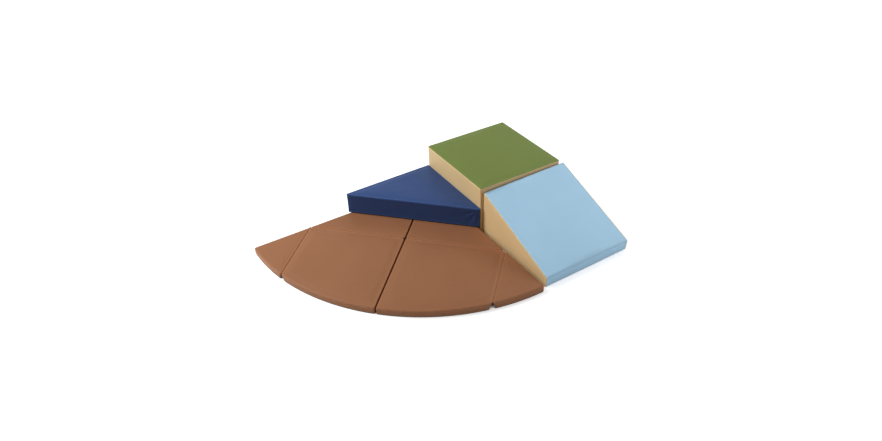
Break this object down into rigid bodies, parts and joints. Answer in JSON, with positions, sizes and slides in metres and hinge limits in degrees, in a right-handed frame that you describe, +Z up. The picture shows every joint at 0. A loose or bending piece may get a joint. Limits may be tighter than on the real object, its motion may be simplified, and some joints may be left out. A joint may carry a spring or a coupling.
{
  "type": "soft play foam climber",
  "caption": "Soft play foam climber for toddlers: square platform, ramp, triangular step and quarter-circle folding mat, vinyl over foam, for a room's corner",
  "frame": {"origin": "On the floor, under the middle of the whole set as it stands", "axes": "+X from the mat to the platform, +Y to the back, +Z up"},
  "size_m": [1.5598, 1.0378, 0.275],
  "materials": {
    "green_vinyl": "satin",
    "tan_vinyl": "satin",
    "light_blue_vinyl": "satin",
    "navy_vinyl": "satin",
    "brown_vinyl": "satin",
    "grip_cloth": "matte",
    "foam": "matte",
    "black_hook": "matte",
    "zip_tape": "matte",
    "zip_metal": "satin"
  },
  "bodies": {
    "platform": {"platform_foam": "foam", "platform_top_cover": "green_vinyl", "platform_side_cover": "tan_vinyl", "platform_base_cover": "grip_cloth", "platform_hook_strip": "black_hook", "platform_zip": "zip_tape"},
    "platform_zip_runner": {"platform_zip_slider": "zip_metal"},
    "platform_zip_tab": {"platform_zip_pull": "zip_metal"},
    "ramp": {"ramp_foam": "foam", "ramp_left_cover": "tan_vinyl", "ramp_right_cover": "tan_vinyl", "ramp_base_cover": "grip_cloth", "ramp_slide_cover": "light_blue_vinyl", "ramp_back_cover": "tan_vinyl", "ramp_loop_strip": "black_hook", "ramp_zip": "zip_tape"},
    "ramp_zip_runner": {"ramp_zip_slider": "zip_metal"},
    "ramp_zip_tab": {"ramp_zip_pull": "zip_metal"},
    "mat_right_half": {"right_centre_foam": "foam", "right_centre_top_cover": "brown_vinyl", "right_centre_side_band": "brown_vinyl", "right_centre_base_cover": "grip_cloth", "right_cross_fold_strip": "brown_vinyl", "right_flap_fold_strip": "brown_vinyl", "centre_fold_strip": "brown_vinyl"},
    "mat_left_half": {"left_centre_foam": "foam", "left_centre_top_cover": "brown_vinyl", "left_centre_side_band": "brown_vinyl", "left_centre_base_cover": "grip_cloth", "left_cross_fold_strip": "brown_vinyl", "left_flap_fold_strip": "brown_vinyl"},
    "mat_right_flap": {"right_flap_foam": "foam", "right_flap_top_cover": "brown_vinyl", "right_flap_side_band": "brown_vinyl", "right_flap_base_cover": "grip_cloth"},
    "mat_left_flap": {"left_flap_foam": "foam", "left_flap_top_cover": "brown_vinyl", "left_flap_side_band": "brown_vinyl", "left_flap_base_cover": "grip_cloth"},
    "mat_right_inner": {"right_inner_foam": "foam", "right_inner_top_cover": "brown_vinyl", "right_inner_side_band": "brown_vinyl", "right_inner_base_cover": "grip_cloth", "right_inner_loop_strip": "black_hook", "inner_centre_fold_strip": "brown_vinyl"},
    "mat_left_inner": {"left_inner_foam": "foam", "left_inner_top_cover": "brown_vinyl", "left_inner_side_band": "brown_vinyl", "left_inner_base_cover": "grip_cloth", "left_inner_loop_strip": "black_hook"},
    "step": {"step_foam": "foam", "step_top_cover": "navy_vinyl", "step_side_cover": "navy_vinyl", "step_base_cover": "grip_cloth", "step_right_hook_strip": "black_hook", "step_left_hook_strip": "black_hook", "step_zip": "zip_tape"},
    "step_zip_runner": {"step_zip_slider": "zip_metal"},
    "step_zip_tab": {"step_zip_pull": "zip_metal"}
  },
  "joints": [
    {"name": "ramp_pull_off", "type": "slide", "parent": "platform", "child": "ramp", "axis": [0, -1, 0], "range_m": [0, 0.3]},
    {"name": "mat_lift", "type": "slide", "parent": "platform", "child": "mat_right_half", "axis": [0, 0, 1], "range_m": [0, 0.042]},
    {"name": "mat_centre_fold", "type": "hinge", "parent": "mat_right_half", "child": "mat_left_half", "pos_m": [-0.11861, 0.14635, -0.0003], "axis": [-0.7071, -0.7071, 0], "range_deg": [0, 180]},
    {"name": "right_flap_fold", "type": "hinge", "parent": "mat_right_half", "child": "mat_right_flap", "pos_m": [0.24269, -0.21495, 0.0383], "axis": [-0.7071, -0.7071, 0], "range_deg": [0, 175]},
    {"name": "left_flap_fold", "type": "hinge", "parent": "mat_left_half", "child": "mat_left_flap", "pos_m": [-0.47595, 0.50369, 0.0383], "axis": [0.7071, 0.7071, 0], "range_deg": [0, 175]},
    {"name": "right_inner_fold", "type": "hinge", "parent": "mat_right_half", "child": "mat_right_inner", "pos_m": [-0.11511, 0.14589, 0.0383], "axis": [-0.7071, 0.7071, 0], "range_deg": [-125, 0]},
    {"name": "left_inner_fold", "type": "hinge", "parent": "mat_left_half", "child": "mat_left_inner", "pos_m": [-0.11511, 0.14589, 0.0383], "axis": [-0.7071, 0.7071, 0], "range_deg": [-125, 0]},
    {"name": "step_lift", "type": "slide", "parent": "mat_right_inner", "child": "step", "axis": [0, 0, 1], "range_m": [0, 0.28]},
    {"name": "platform_zip_slide", "type": "slide", "parent": "platform", "child": "platform_zip_runner", "axis": [-1, 0, 0], "range_m": [0, 0.4178]},
    {"name": "platform_zip_pull_turn", "type": "hinge", "parent": "platform_zip_runner", "child": "platform_zip_tab", "pos_m": [0.70784, 0.51604, 0.026], "axis": [0, 0, 1], "range_deg": [0, 180]},
    {"name": "ramp_zip_slide", "type": "slide", "parent": "ramp", "child": "ramp_zip_runner", "axis": [0, 1, 0], "range_m": [0, 0.4178]},
    {"name": "ramp_zip_pull_turn", "type": "hinge", "parent": "ramp_zip_runner", "child": "ramp_zip_tab", "pos_m": [0.77704, -0.45726, 0.026], "axis": [0, 0, 1], "range_deg": [0, 180]},
    {"name": "step_zip_slide", "type": "slide", "parent": "step", "child": "step_zip_runner", "axis": [-1, 0, 0], "range_m": [0, 0.4178]},
    {"name": "step_zip_pull_turn", "type": "hinge", "parent": "step_zip_runner", "child": "step_zip_tab", "pos_m": [0.20284, 0.51575, 0.0643], "axis": [0, 0, 1], "range_deg": [0, 180]}
  ],
  "couplings": [
    {"joint": "mat_lift", "follows": "mat_centre_fold", "m_per_rad": 0.013369},
    {"joint": "left_inner_fold", "follows": "right_inner_fold", "ratio": 1}
  ]
}
